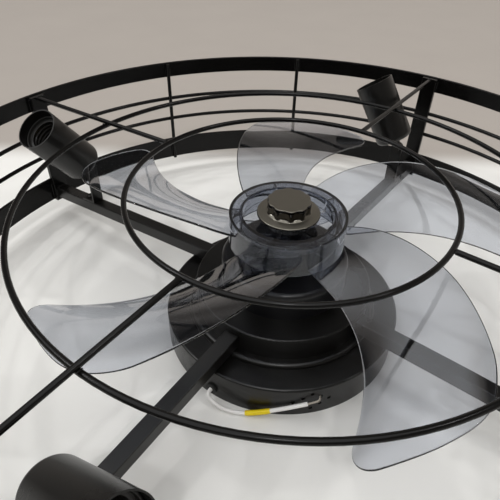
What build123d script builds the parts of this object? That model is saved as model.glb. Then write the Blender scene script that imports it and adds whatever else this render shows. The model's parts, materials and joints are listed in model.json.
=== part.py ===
from build123d import *
import math
import os

os.makedirs("parts", exist_ok=True)

# Cage: two rims of flat strip on edge, tied by uprights, hoops and a grille of round rod
cage_radius = 300.0
cage_height = 135.0
strip_wall = 3.0
upper_rim_depth = 16.0
lower_rim_depth = 25.0
lower_rim_level = 17.0
rim_edge_round = 0.6
rod_size = 4.0
weld_gap = 0.2
upper_hoop_level = 93.0
lower_hoop_level = 68.0
middle_ring_radius = 196.0
inner_ring_radius = 119.0
inner_ring_level = 137.0
spoke_drop = 3.0
frame_count = 4
rods_per_bay = 2
upright_width = 16.0
upright_thickness = 5.0
upright_edge_round = 0.8
upright_inset = 1.0

# Arms: square tube from the carrier plate, out through the crown's wall, down to the lower rim
arm_size = 12.0
arm_wall = 1.2
arm_edge_round = 1.0
arm_inner_radius = 48.0
arm_fit = 0.3
arm_head_height = 46.2
arm_slope = 3.6

# Canopy: stepped steel pressing that stands on the ceiling
crown_radius = 72.0
shoulder_step = 7.0
skirt_step = 19.0
canopy_wall = 1.2
canopy_skirt = 29.0
shoulder_level = 33.0
shoulder_round = 3.0
crown_level = 53.0
crown_round = 1.0
skirt_round = 1.6
canopy_bore = 7.0

# Mounting plate: shallow pan inside the canopy, screwed to the ceiling
plate_wall = 1.5
plate_rim = 8.0
plate_fit = 0.3
plate_bore = 16.0
slot_spacing = 96.0
slot_width = 5.5
slot_length = 16.0

# Carrier plate, dished to the slope of the arms, and the spacers that hang it from the crown
carrier_inset = 3.0
carrier_bore = 14.0
carrier_wall = 2.0
spacer_inset = 16.0
spacer_size = 9.0

# Screw used all over the frame
screw_size = 4.0
screw_head = 7.0
screw_head_depth = 2.2
screw_length = 7.0
screw_fit = 0.1
arm_screw_spacing = 9.0
arm_screw_inset = 7.0
skirt_screw_level = 5.0
skirt_screw_angle = 30.0

# Motor
motor_radius = 51.0
motor_height = 24.5
motor_wall = 1.6
motor_round = 4.0
motor_base_wall = 2.5
bearing_radius = 11.0
bearing_height = 7.0
bearing_boss = 14.0
bearing_seat = 1.5
fit_gap = 0.05
stator_outer_gap = 0.2
stator_yoke = 5.0
stator_height = 12.0
stator_bore = 29.0
tooth_count = 9
tooth_width = 7.0
tooth_shoe = 13.0
tooth_shoe_depth = 2.0
coil_growth = 2.2
coil_clearance = 0.6
magnet_radius = 28.0
magnet_wall = 4.0
magnet_height = 12.0
core_height = 6.0
shaft_radius = 4.0
shaft_length = 68.5
shaft_rise = 0.8

# Hub and blades, one clear moulding
hub_radius = 45.0
hub_level = 91.4
hub_height = 25.6
hub_wall = 2.0
hub_ring_width = 10.0
hub_floor_depth = 10.0
hub_boss_radius = 12.0
hub_boss_drop = 11.5
hub_ribs = 5
hub_rib_phase = 65.5
hub_rib_wall = 1.4
hub_edge_round = 0.8
pin_size = 3.0
pin_length = 21.0
pin_fit = 0.1
blade_count = 5
blade_phase = 49.4
blade_radius = 193.5
blade_wall = 1.8
blade_camber = 3.0
blade_overrun = 6.0
lead_edge_height = 95.0
blade_lift_height = 27.0
low_corner_round = 14.5
high_corner_round = 16.0

# Blade shape: low edge and high edge at equal steps from hub to tip, angles in degrees,
# heights as shares of the blade's lift above the low edge at the hub
low_edge_angles = (-14.3, -10.4, -11.6, -15.6, -21.2, -27.3)
high_edge_angles = (49.3, 36.6, 26.7, 18.6, 10.8, 3.0)
low_edge_shares = (0.0, 0.01, 0.0, -0.03, -0.09, -0.17)
high_edge_shares = (0.47, 0.83, 0.99, 0.98, 0.78, 0.46)
high_edge_end_share = 0.952
tip_angles = (-27.3, -19.0, -11.0, -4.0, 3.0)
tip_shares = (1.0, 0.997, 0.996, 0.988, 0.952)

# Spinner nut and its collar
collar_radius = 16.0
collar_height = 9.0
collar_bore = 9.0
collar_flutes = 20
collar_flute = 1.2
nut_flange_radius = 24.0
nut_flange_edge = 1.8
nut_flange_round = 0.6
nut_flange_rise = 2.6
nut_cap_radius = 17.2
nut_cap_height = 9.4
nut_cap_round = 1.6
nut_flutes = 10
nut_flute_radius = 4.0
nut_flute_depth = 0.9
nut_flute_foot = 1.4
nut_spigot_gap = 0.3
nut_bore_depth = 16.0

# Lamp heads: bracket on the arm, eye, cup, screw socket and contacts
lamp_inset = 67.0
pivot_level = 75.7
eye_radius = 6.0
eye_wall = 3.0
eye_gap = 0.3
pivot_size = 4.0
pivot_head = 7.2
pivot_head_depth = 2.4
nut_depth = 2.8
bracket_width = 12.0
bracket_wall = 2.0
bracket_foot = 18.0
bracket_screw_inset = 11.0
cup_offset = 9.0
cup_radius = 19.0
cup_length = 65.0
cup_wall = 1.0
cup_round = 5.0
cup_neck = 4.0
cup_lip_inset = 8.0
socket_gap = 0.2
socket_bore = 13.3
socket_depth = 24.0
socket_collar = 16.2
socket_collar_depth = 3.0
contact_radius = 5.0
contact_height = 3.0
contact_well = 8.0
side_contact_width = 6.0
side_contact_wall = 0.8
side_contact_height = 13.0
side_contact_sink = 0.3
side_contact_gap = 0.1
lamp_angles = (55.0, 57.0, 52.0, 28.0)

# Receiver, buzzer and terminal block inside the canopy
receiver_length = 62.0
receiver_width = 34.0
receiver_height = 9.0
receiver_place = 44.0
receiver_turn = 135.0
terminal_length = 30.0
terminal_width = 16.0
terminal_height = 10.0
terminal_place = 46.0
terminal_turn = 225.0
buzzer_radius = 10.5
buzzer_depth = 4.0
buzzer_angle = -44.0
buzzer_level = 15.0
buzzer_setback = 4.0
sound_hole = 3.0
sound_hole_across = 13.7
sound_hole_up = 8.5
box_round = 1.5

# Signal lead: leaves the skirt by a grommet, lies along the skirt and ends bare in a sound hole
lead_size = 3.2
lead_angle = -89.5
lead_level = 8.5
grommet_radius = 3.3
grommet_flange = 4.6
grommet_depth = 1.6
grommet_seat = 0.15
grommet_bore = 1.2
sleeve_size = 5.0
sleeve_length = 18.5
sleeve_fit = 0.1
sleeve_start = 6.5
tip_size = 1.8
arc_share = 0.45
lead_straight = 6.0
lead_points = [
    (8.0, -106.0, 4.8),
    (17.0, -105.4, 2.2),
    (33.5, -98.2, 2.2),
    (57.5, -83.3, 12.4),
    (70.0, -72.9, 16.8),
]
tip_standoff = 3.2
tip_straight = 4.0

# Common overrun for cuts
overrun = 1.0

# Levels and radii that follow from the sizes above
rim_inner_radius = cage_radius - strip_wall
rod_radius = rod_size / 2
rod_circle = rim_inner_radius - weld_gap - rod_radius
hoop_circle = rod_circle + rod_size + weld_gap
upright_face = math.sqrt((rim_inner_radius - weld_gap) ** 2 - (upright_width / 2) ** 2)
upright_inner_face = upright_face - upright_thickness
arm_fall = math.tan(math.radians(arm_slope))
arm_drop = arm_size / math.cos(math.radians(arm_slope))
carrier_drop = carrier_wall / math.cos(math.radians(arm_slope))
shoulder_radius = crown_radius + shoulder_step
canopy_radius = shoulder_radius + skirt_step
carrier_radius = crown_radius - carrier_inset
spacer_radius = crown_radius - spacer_inset
lamp_radius = cage_radius - lamp_inset
frame_step = 360.0 / frame_count
motor_top = crown_level + motor_height
lower_bearing_level = crown_level + bearing_seat
upper_bearing_level = motor_top - bearing_height
hub_top = hub_level + hub_height
hub_floor_top = hub_top - hub_floor_depth
hub_floor_level = hub_floor_top - hub_wall
hub_boss_level = hub_floor_level - hub_boss_drop
pin_level = hub_boss_level + pin_size / 2
spoke_outer_level = cage_height - spoke_drop
spoke_inner_radius = inner_ring_radius + rod_size / 2 + weld_gap
spoke_outer_radius = upright_inner_face - weld_gap


def polar(radius, angle, level=0.0):
    turn = math.radians(angle)
    return Vector(radius * math.cos(turn), radius * math.sin(turn), level)


def save(name, *solids):
    shape = solids[0] if len(solids) == 1 else Compound(children=list(solids))
    export_step(shape, os.path.join("parts", name + ".step"))


def disc(radius, bottom, height):
    return Pos(0, 0, bottom) * Cylinder(radius, height, align=(Align.CENTER, Align.CENTER, Align.MIN))


def tube(outer, inner, bottom, height):
    return disc(outer, bottom, height) - disc(inner, bottom - overrun, height + 2 * overrun)


def revolved(points):
    outline = Plane.XZ * make_face(Polyline(*points, close=True))
    return revolve(outline, Axis.Z)


def spun(count, shape, start=0.0):
    return [Rot(0, 0, start + 360.0 / count * step) * shape for step in range(count)]


def along(start, finish, radius):
    """Round bar from one point to another"""
    line = Line(start, finish)
    return sweep(Plane(origin=line @ 0, z_dir=line % 0) * Circle(radius), path=line)


# Cage

def rim(level, depth):
    strip = tube(cage_radius, rim_inner_radius, level, depth)
    return fillet(strip.edges().filter_by(GeomType.CIRCLE), rim_edge_round)


def ring(radius, level):
    return Pos(0, 0, level) * Torus(radius, rod_radius)


def make_cage():
    upper_rim_level = cage_height - upper_rim_depth
    save("upper_rim", rim(upper_rim_level, upper_rim_depth))
    save("lower_rim", rim(lower_rim_level, lower_rim_depth))
    save("upper_hoop", ring(hoop_circle, upper_hoop_level))
    save("lower_hoop", ring(hoop_circle, lower_hoop_level))
    upright_height = cage_height - upright_inset - lower_rim_level
    flat = Pos(upright_inner_face, 0, lower_rim_level) * Box(
        upright_thickness, upright_width, upright_height, align=(Align.MIN, Align.CENTER, Align.MIN))
    flat = fillet(flat.edges().filter_by(Axis.Z), upright_edge_round)
    save("flat_uprights", *spun(frame_count, flat))
    rods = []
    bay_step = frame_step / (rods_per_bay + 1)
    for frame in range(frame_count):
        for place in range(1, rods_per_bay + 1):
            spot = polar(rod_circle, frame * frame_step + place * bay_step, lower_rim_level)
            upright = Cylinder(rod_radius, upright_height, align=(Align.CENTER, Align.CENTER, Align.MIN))
            rods.append(Pos(spot) * upright)
    save("rod_uprights", *rods)
    slope = (inner_ring_level - spoke_outer_level) / (spoke_outer_radius - spoke_inner_radius)
    crossing_level = spoke_outer_level + slope * (spoke_outer_radius - middle_ring_radius)
    middle_level = crossing_level - (rod_size + weld_gap) / math.cos(math.atan(slope))
    save("middle_ring", ring(middle_ring_radius, middle_level))
    save("inner_ring", ring(inner_ring_radius, inner_ring_level))
    spoke = along((spoke_inner_radius, 0, inner_ring_level), (spoke_outer_radius, 0, spoke_outer_level), rod_radius)
    save("grille_spokes", *spun(frame_count, spoke))


# Screws, all alike: head at the origin's negative side, shank along +Z

def screw():
    head = disc(screw_head / 2, -screw_head_depth, screw_head_depth)
    return head + disc(screw_size / 2, 0, screw_length)


def screw_hole():
    return disc(screw_size / 2 + screw_fit, -overrun, screw_length + 2 * overrun)


# Arms, which fall outwards, and what is fixed to them

def arm_top(radius):
    """Level of an arm's upper side at a radius"""
    return arm_head_height - (radius - crown_radius) * arm_fall


def arm_underside(radius):
    return arm_top(radius) - arm_drop


def on_arm(radius):
    """Place on an arm's upper side, x along the arm and z square to it"""
    return Pos(radius, 0, arm_top(radius)) * Rot(0, arm_slope, 0)


def arm_screw_places():
    first = arm_inner_radius + arm_screw_inset
    return [first, first + arm_screw_spacing]


def make_arms():
    length = spoke_outer_radius - arm_inner_radius
    whole = Box(2 * length, arm_size, arm_size, align=(Align.CENTER, Align.CENTER, Align.MAX))
    whole = fillet(whole.edges().filter_by(Axis.X), arm_edge_round)
    inside = Pos(0, 0, -arm_wall) * Box(
        2 * length + 2 * overrun, arm_size - 2 * arm_wall, arm_size - 2 * arm_wall,
        align=(Align.CENTER, Align.CENTER, Align.MAX))
    arm = on_arm((arm_inner_radius + spoke_outer_radius) / 2) * (whole - inside)
    arm &= Pos(arm_inner_radius, 0, 0) * Box(
        length, 2 * arm_size, cage_height, align=(Align.MIN, Align.CENTER, Align.MIN))
    for place in arm_screw_places():
        arm -= on_arm(place) * Pos(0, 0, -arm_size) * screw_hole()
    arm -= on_arm(bracket_screw_place()) * Rot(180, 0, 0) * screw_hole()
    for number, turned in enumerate(spun(frame_count, arm), start=1):
        save("arm_%d" % number, turned)


def bracket_screw_place():
    return bracket_face() + bracket_screw_inset


def bracket_face():
    return lamp_radius - eye_wall / 2 - eye_gap


def make_carrier():
    points = [
        (carrier_bore, arm_underside(carrier_bore) - carrier_drop),
        (carrier_radius, arm_underside(carrier_radius) - carrier_drop),
        (carrier_radius, arm_underside(carrier_radius)),
        (carrier_bore, arm_underside(carrier_bore)),
    ]
    plate = revolved(points)
    for frame in range(frame_count):
        turn = Rot(0, 0, frame * frame_step)
        for place in arm_screw_places():
            plate -= turn * on_arm(place) * Pos(0, 0, -arm_size - carrier_wall) * screw_hole()
    save("carrier_plate", plate)
    spacer_level = arm_underside(spacer_radius - spacer_size / 2)
    spacer_height = crown_level - canopy_wall - spacer_level
    spacer = Pos(polar(spacer_radius, frame_step / 2, spacer_level)) * extrude(
        RegularPolygon(spacer_size / 2, 6), spacer_height)
    save("carrier_spacers", *spun(frame_count, spacer))


# Canopy

def canopy_outline(inset):
    skirt = canopy_radius - inset
    shoulder = shoulder_radius - inset
    crown = crown_radius - inset
    points = [
        (0, 0),
        (skirt, 0),
        (skirt, canopy_skirt - inset),
        (shoulder, canopy_skirt - inset),
        (shoulder, shoulder_level - inset),
        (crown, shoulder_level - inset),
        (crown, crown_level - inset),
        (0, crown_level - inset),
    ]
    face = make_face(Polyline(*points, close=True))
    rounds = {points[2]: skirt_round - inset, points[4]: shoulder_round - inset}
    if not inset:
        rounds[points[6]] = crown_round
    for corner, radius in rounds.items():
        if radius > 0:
            face = fillet(face.vertices().sort_by_distance(corner)[0], radius)
    return revolve(Plane.XZ * face, Axis.Z)


def sound_hole_places():
    """Corners of a rhombus and the middles of its sides, as places across and up"""
    corners = [(sound_hole_across, 0), (0, sound_hole_up), (-sound_hole_across, 0), (0, -sound_hole_up)]
    places = []
    for first, second in zip(corners, corners[1:] + corners[:1]):
        places.append(first)
        places.append(((first[0] + second[0]) / 2, (first[1] + second[1]) / 2))
    return places


def skirt_drill(angle, level, radius, side=0.0):
    """Round cutter through the skirt, pointing outwards"""
    start = canopy_radius - canopy_wall - plate_wall - overrun
    cutter = Cylinder(radius, canopy_wall + plate_wall + 3 * overrun, align=(Align.CENTER, Align.CENTER, Align.MIN))
    return Rot(0, 0, angle) * Pos(start, side, level) * Rot(0, 90, 0) * cutter


def make_canopy():
    shell = canopy_outline(0.0) - canopy_outline(canopy_wall)
    shell -= disc(canopy_bore, crown_level - canopy_wall - overrun, canopy_wall + 2 * overrun)
    window_size = arm_size + 2 * arm_fit
    window = on_arm(crown_radius) * Pos(0, 0, arm_fit) * Box(
        2 * canopy_wall + 2 * overrun, window_size, window_size, align=(Align.CENTER, Align.CENTER, Align.MAX))
    for cut in spun(frame_count, window):
        shell -= cut
    for side, rise in sound_hole_places():
        shell -= skirt_drill(buzzer_angle, buzzer_level + rise, sound_hole / 2, side)
    shell -= skirt_drill(lead_angle, lead_level, grommet_radius + fit_gap)
    for side in range(2):
        shell -= skirt_drill(skirt_screw_angle + side * 180, skirt_screw_level, screw_size / 2 + screw_fit)
    save("canopy", shell)


def make_mounting_plate():
    radius = canopy_radius - canopy_wall - plate_fit
    pan = disc(radius, 0, plate_rim) - disc(radius - plate_wall, plate_wall, plate_rim)
    pan -= disc(plate_bore, -overrun, plate_wall + 2 * overrun)
    for side in (-1, 1):
        slot = SlotOverall(slot_length, slot_width)
        pan -= Pos(side * slot_spacing / 2, 0, -overrun) * extrude(slot, plate_wall + 2 * overrun)
    for side in range(2):
        pan -= skirt_drill(skirt_screw_angle + side * 180, skirt_screw_level, screw_size / 2 + screw_fit)
    for angle, width in ((lead_angle, grommet_flange), (buzzer_angle, sound_hole_across + sound_hole)):
        relief = Pos(radius - plate_wall - overrun, 0, plate_wall) * Box(
            plate_wall + 2 * overrun, 2 * width, plate_rim, align=(Align.MIN, Align.CENTER, Align.MIN))
        pan -= Rot(0, 0, angle) * relief
    save("mounting_plate", pan)


def make_screws():
    screws = []
    seat = -arm_size - carrier_wall - weld_gap
    upward = [on_arm(place) * Pos(0, 0, seat) * screw() for place in arm_screw_places()]
    downward = on_arm(bracket_screw_place()) * Pos(0, 0, bracket_wall + weld_gap) * Rot(180, 0, 0) * screw()
    for frame in range(frame_count):
        turn = Rot(0, 0, frame * frame_step)
        screws += [turn * item for item in upward]
        screws.append(turn * downward)
    for side in range(2):
        turn = Rot(0, 0, skirt_screw_angle + side * 180)
        screws.append(turn * Pos(canopy_radius + weld_gap, 0, skirt_screw_level) * Rot(0, -90, 0) * screw())
    save("frame_screws", *screws)


# Motor

def make_motor():
    base = disc(motor_radius - motor_wall - stator_outer_gap, crown_level, motor_base_wall)
    base += disc(bearing_boss, crown_level, bearing_seat + bearing_height)
    base -= disc(bearing_radius + fit_gap, lower_bearing_level, bearing_height + overrun)
    base -= disc(shaft_radius + shaft_rise, crown_level - overrun, bearing_seat + 2 * overrun)
    save("motor_base", base)
    can = disc(motor_radius, crown_level, motor_height)
    can = fillet(can.edges().group_by(Axis.Z)[-1], motor_round)
    can -= disc(motor_radius - motor_wall, crown_level - overrun, motor_height - motor_wall + overrun)
    can += disc(bearing_boss, upper_bearing_level - bearing_seat, bearing_height + bearing_seat)
    can -= disc(bearing_radius + fit_gap, upper_bearing_level, bearing_height + overrun)
    can -= disc(shaft_radius + shaft_rise, upper_bearing_level - bearing_seat - overrun, bearing_height)
    save("motor_housing", can)
    for name, level in (("lower_bearing", lower_bearing_level), ("upper_bearing", upper_bearing_level)):
        save(name, tube(bearing_radius, shaft_radius + fit_gap, level, bearing_height))


def make_stator():
    outer = motor_radius - motor_wall - stator_outer_gap
    level = crown_level + motor_base_wall + coil_growth + coil_clearance
    core = tube(outer, outer - stator_yoke, level, stator_height)
    shoe_radius = stator_bore + tooth_shoe_depth
    tooth_length = outer - stator_yoke / 2 - shoe_radius + tooth_shoe_depth / 2
    tooth = Pos(shoe_radius - tooth_shoe_depth / 2, 0, level) * Box(
        tooth_length, tooth_width, stator_height, align=(Align.MIN, Align.CENTER, Align.MIN))
    shoe = tube(shoe_radius, stator_bore, level, stator_height)
    shoe &= Pos(0, 0, level) * Box(cage_radius, tooth_shoe, stator_height, align=(Align.MIN, Align.CENTER, Align.MIN))
    for piece in spun(tooth_count, tooth + shoe):
        core += piece
    save("stator_core", core)
    coil_length = outer - stator_yoke - shoe_radius - 2 * coil_clearance
    coil = Pos(shoe_radius + coil_clearance, 0, level - coil_growth) * Box(
        coil_length, tooth_width + 2 * coil_growth, stator_height + 2 * coil_growth,
        align=(Align.MIN, Align.CENTER, Align.MIN))
    coil = fillet(coil.edges().filter_by(Axis.X), coil_growth / 2)
    window = Pos(stator_bore, 0, level - weld_gap) * Box(
        outer, tooth_width + 2 * weld_gap, stator_height + 2 * weld_gap,
        align=(Align.MIN, Align.CENTER, Align.MIN))
    save("stator_windings", *spun(tooth_count, coil - window))


def make_rotor():
    middle = (lower_bearing_level + bearing_height + upper_bearing_level) / 2
    foot = lower_bearing_level - shaft_rise / 2
    shaft = disc(shaft_radius, foot, shaft_length)
    pin_hole = Pos(0, 0, pin_level) * Rot(90, 0, 0) * Cylinder(pin_size / 2 + fit_gap, 4 * shaft_radius)
    save("rotor_shaft", shaft - pin_hole)
    save("drive_pin", Pos(0, 0, pin_level) * Rot(90, 0, 0) * Cylinder(pin_size / 2, pin_length))
    inner = magnet_radius - magnet_wall
    save("rotor_core", tube(inner - fit_gap, shaft_radius + fit_gap, middle - core_height / 2, core_height))
    save("magnet_ring", tube(magnet_radius, inner, middle - magnet_height / 2, magnet_height))


# Impeller

def edge_points(angles, levels, end_share):
    points = []
    steps = len(angles) - 1
    span = (blade_radius * end_share - hub_radius) / steps
    for step, (angle, share) in enumerate(zip(angles, levels)):
        points.append(polar(hub_radius + span * step, angle, lead_edge_height + share * blade_lift_height))
    return points


def blade_section(low, high):
    chord = high - low
    flat = Vector(chord.X, chord.Y, 0).normalized()
    plane = Plane(origin=low, x_dir=flat, z_dir=flat.cross(Vector(0, 0, 1)))
    width = math.hypot(chord.X, chord.Y)
    slope = chord.Z / width
    start = (-blade_overrun, -blade_overrun * slope)
    finish = (width + blade_overrun, (width + blade_overrun) * slope)
    middle = (width / 2, width * slope / 2 + blade_camber)
    lower = ThreePointArc(start, middle, finish)
    upper = ThreePointArc(*[(x, y + blade_wall) for x, y in (start, middle, finish)])
    ends = [Line(lower @ 1, upper @ 1), Line(upper @ 0, lower @ 0)]
    return plane * make_face([lower, upper] + ends)


def blade_plan():
    """Outline of a blade seen along the shaft"""
    root = hub_radius - hub_wall / 2
    low = [polar(root, low_edge_angles[0])]
    low += [Vector(p.X, p.Y, 0) for p in edge_points(low_edge_angles, low_edge_shares, 1.0)[1:]]
    high = [polar(root, high_edge_angles[0])]
    high += [Vector(p.X, p.Y, 0) for p in edge_points(high_edge_angles, high_edge_shares, high_edge_end_share)[1:]]
    tip = [polar(blade_radius * share, angle) for share, angle in zip(tip_shares, tip_angles)]
    tip[0] = low[-1]
    tip[-1] = high[-1]
    middle_angle = (low_edge_angles[0] + high_edge_angles[0]) / 2
    root_arc = ThreePointArc(high[0], polar(root, middle_angle), low[0])
    face = make_face([Spline(*low), Spline(*tip), Spline(*reversed(high)), root_arc])
    face = fillet(face.vertices().sort_by_distance(low[-1])[0], low_corner_round)
    return fillet(face.vertices().sort_by_distance(high[-1])[0], high_corner_round)


def make_blade():
    low = edge_points(low_edge_angles, low_edge_shares, 1.0)
    high = edge_points(high_edge_angles, high_edge_shares, high_edge_end_share)
    sections = [blade_section(a, b) for a, b in zip(low, high)]
    outwards = (low[-1] - low[-2] + high[-1] - high[-2]) / 2
    sections.append(blade_section(low[-1] + outwards, high[-1] + outwards))
    skin = loft(sections)
    plan = Pos(0, 0, hub_level) * extrude(blade_plan(), 2 * hub_height)
    return skin & plan


def make_hub():
    ring_inner = hub_radius - hub_ring_width
    hub = tube(hub_radius, hub_radius - hub_wall, hub_level, hub_height)
    hub = fillet(hub.edges().group_by(Axis.Z)[-1].sort_by(SortBy.RADIUS)[-1], hub_edge_round)
    hub += tube(hub_radius - hub_wall / 2, ring_inner, hub_top - hub_wall, hub_wall)
    hub += tube(ring_inner + hub_wall, ring_inner, hub_floor_level, hub_floor_depth + hub_wall)
    hub += disc(ring_inner + hub_wall / 2, hub_floor_level, hub_wall)
    hub += disc(hub_boss_radius, hub_boss_level, hub_boss_drop + hub_wall)
    rib_height = hub_floor_level - hub_level - hub_wall
    rib = Pos(hub_boss_radius - hub_wall / 2, 0, hub_level + hub_wall) * Box(
        hub_radius - hub_boss_radius, hub_rib_wall, rib_height, align=(Align.MIN, Align.CENTER, Align.MIN))
    outer_rib = Pos(ring_inner + hub_wall / 2, 0, hub_floor_level) * Box(
        hub_ring_width - hub_wall, hub_rib_wall, hub_floor_depth, align=(Align.MIN, Align.CENTER, Align.MIN))
    for piece in spun(hub_ribs, rib + outer_rib, hub_rib_phase):
        hub += piece
    hub -= disc(shaft_radius + fit_gap, hub_boss_level - overrun, 2 * hub_height)
    hub -= Pos(0, 0, hub_boss_level - overrun) * Box(
        pin_size + 2 * pin_fit, pin_length + 2 * overrun, pin_size + pin_fit + overrun,
        align=(Align.CENTER, Align.CENTER, Align.MIN))
    return hub


def make_impeller():
    blade = make_blade()
    impeller = make_hub()
    for turned in spun(blade_count, blade, blade_phase):
        impeller += turned
    save("impeller", impeller)


def make_nut():
    collar = tube(collar_radius, collar_bore, hub_floor_top, collar_height)
    flute = Pos(collar_radius + collar_flute / 2, 0, hub_floor_top - overrun) * Cylinder(
        collar_flute, collar_height + 2 * overrun, align=(Align.CENTER, Align.CENTER, Align.MIN))
    for cut in spun(collar_flutes, flute):
        collar -= cut
    save("nut_collar", collar)
    base = hub_floor_top + collar_height
    foot = hub_floor_top + nut_spigot_gap
    cap_base = base + nut_flange_rise
    cap_top = cap_base + nut_cap_height
    points = [
        (0, foot),
        (collar_bore - nut_spigot_gap, foot),
        (collar_bore - nut_spigot_gap, base),
        (nut_flange_radius, base),
        (nut_flange_radius, base + nut_flange_edge),
        (nut_cap_radius, cap_base),
        (nut_cap_radius, cap_top),
        (0, cap_top),
    ]
    face = make_face(Polyline(*points, close=True))
    for corner, radius in ((points[6], nut_cap_round), (points[4], nut_flange_round), (points[3], nut_flange_round)):
        face = fillet(face.vertices().sort_by_distance(corner)[0], radius)
    nut = revolve(Plane.XZ * face, Axis.Z)
    flute = Pos(nut_cap_radius + nut_flute_radius - nut_flute_depth, 0, cap_base + nut_flute_foot) * Cylinder(
        nut_flute_radius, nut_cap_height, align=(Align.CENTER, Align.CENTER, Align.MIN))
    for cut in spun(nut_flutes, flute):
        nut -= cut
    nut -= disc(shaft_radius + fit_gap, foot - overrun, nut_bore_depth + overrun)
    save("spinner_nut", nut)


# Lamp heads, built about a pivot at the origin with the cup along +Z and the arm's length along +X

def make_cup():
    mouth = cup_offset + cup_length
    cup = disc(cup_radius, cup_offset, cup_length)
    cup = fillet(cup.edges().group_by(Axis.Z)[0], cup_round)
    hollow = disc(cup_radius - cup_wall, cup_offset + cup_wall, cup_length)
    cup -= fillet(hollow.edges().group_by(Axis.Z)[0], cup_round - cup_wall)
    cup += disc(cup_neck, eye_radius + eye_gap, cup_offset - eye_radius - eye_gap + cup_wall)
    eye = Rot(0, 90, 0) * Cylinder(eye_radius, eye_wall)
    tongue = Box(eye_wall, 2 * cup_neck, cup_offset, align=(Align.CENTER, Align.CENTER, Align.MIN))
    cup += eye + tongue
    cup -= Rot(0, 90, 0) * Cylinder(pivot_size / 2 + fit_gap, 4 * eye_wall)
    return cup, mouth


def make_socket(mouth):
    outer = cup_radius - cup_wall - socket_gap
    top = mouth - cup_lip_inset
    foot = cup_offset + cup_wall + cup_round
    floor = top - socket_depth
    ledge = floor + contact_height
    body = disc(outer, foot, top - foot)
    body -= disc(contact_well, floor, socket_depth)
    body -= disc(socket_bore, ledge, socket_depth)
    body -= disc(socket_collar, top - socket_collar_depth, socket_collar_depth + overrun)
    strip_radius = socket_bore + side_contact_sink
    strip = Pos(0, strip_radius, ledge + side_contact_gap) * Box(
        side_contact_width, side_contact_wall, side_contact_height, align=(Align.CENTER, Align.MIN, Align.MIN))
    body -= Pos(0, 0, ledge) * Box(
        side_contact_width + 2 * side_contact_gap, strip_radius + side_contact_wall + side_contact_gap,
        side_contact_height + 2 * side_contact_gap, align=(Align.CENTER, Align.MIN, Align.MIN))
    contact = disc(contact_radius, floor, contact_height)
    contact = fillet(contact.edges().group_by(Axis.Z)[-1], contact_height / 3)
    return body, strip, contact


def make_lamp_heads():
    cup, mouth = make_cup()
    body, strip, contact = make_socket(mouth)
    pieces = {"lamp_cup": [cup], "socket_body": [body], "socket_contacts": [strip, contact]}
    for number, angle in enumerate(lamp_angles, start=1):
        place = Rot(0, 0, (number - 1) * frame_step) * Pos(lamp_radius, 0, pivot_level) * Rot(angle - 90, 0, 0)
        for name, solids in pieces.items():
            save("%s_%d" % (name, number), *[place * solid for solid in solids])


def make_brackets():
    face = bracket_face()
    back = face - bracket_wall
    ear_height = pivot_level - arm_top(back)
    ear = Pos(back, 0, arm_top(back)) * Box(
        bracket_wall, bracket_width, ear_height, align=(Align.MIN, Align.CENTER, Align.MIN))
    ear += Pos(back + bracket_wall / 2, 0, pivot_level) * Rot(0, 90, 0) * Cylinder(bracket_width / 2, bracket_wall)
    foot = on_arm(back) * Box(
        bracket_foot, bracket_width, bracket_wall, align=(Align.MIN, Align.CENTER, Align.MIN))
    bracket = ear + foot
    bracket -= Pos(face, 0, pivot_level) * Rot(0, 90, 0) * Cylinder(pivot_size / 2 + fit_gap, 4 * bracket_wall)
    bracket -= on_arm(bracket_screw_place()) * Pos(0, 0, bracket_wall) * Rot(180, 0, 0) * screw_hole()
    for number, turned in enumerate(spun(frame_count, bracket), start=1):
        save("lamp_bracket_%d" % number, turned)


def make_pivots():
    head_face = bracket_face() - bracket_wall - weld_gap
    nut_face = lamp_radius + eye_wall / 2 + eye_gap
    shank_length = nut_face + nut_depth + overrun - head_face
    bolt = disc(pivot_size / 2, 0, shank_length) + disc(pivot_head / 2, -pivot_head_depth, pivot_head_depth)
    bolt = Pos(head_face, 0, pivot_level) * Rot(0, 90, 0) * bolt
    save("pivot_bolts", *spun(frame_count, bolt))
    nut = extrude(RegularPolygon(pivot_head / 2, 6), nut_depth) - disc(
        pivot_size / 2 + fit_gap, -overrun, nut_depth + 2 * overrun)
    nut = Pos(nut_face, 0, pivot_level) * Rot(0, 90, 0) * nut
    save("pivot_nuts", *spun(frame_count, nut))


# Electrics inside the canopy

def buzzer_face():
    inside = canopy_radius - canopy_wall
    return math.sqrt(inside ** 2 - buzzer_radius ** 2) - buzzer_setback


def rounded_box(length, width, height):
    box = Box(length, width, height, align=(Align.CENTER, Align.CENTER, Align.MIN))
    return fillet(box.edges().filter_by(Axis.Z), box_round)


def make_electrics():
    receiver = Pos(receiver_place, 0, plate_wall) * rounded_box(receiver_width, receiver_length, receiver_height)
    save("receiver_box", Rot(0, 0, receiver_turn) * receiver)
    terminal = Pos(terminal_place, 0, plate_wall) * rounded_box(terminal_width, terminal_length, terminal_height)
    save("terminal_block", Rot(0, 0, terminal_turn) * terminal)
    buzzer = Rot(0, 90, 0) * Cylinder(buzzer_radius, buzzer_depth, align=(Align.CENTER, Align.CENTER, Align.MAX))
    foot = Pos(-buzzer_depth / 2, 0, plate_wall - buzzer_level) * Box(
        buzzer_depth, buzzer_radius, buzzer_level - plate_wall, align=(Align.CENTER, Align.CENTER, Align.MIN))
    save("buzzer", Rot(0, 0, buzzer_angle) * Pos(buzzer_face(), 0, buzzer_level) * (buzzer + foot))


# Signal lead

def fillet_radii(points):
    radii = []
    for before, point, after in zip(points, points[1:], points[2:]):
        turn = math.radians((point - before).get_angle(after - point))
        shorter = min((point - before).length, (after - point).length)
        radii.append(arc_share * shorter / math.tan(turn / 2))
    return radii


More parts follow.
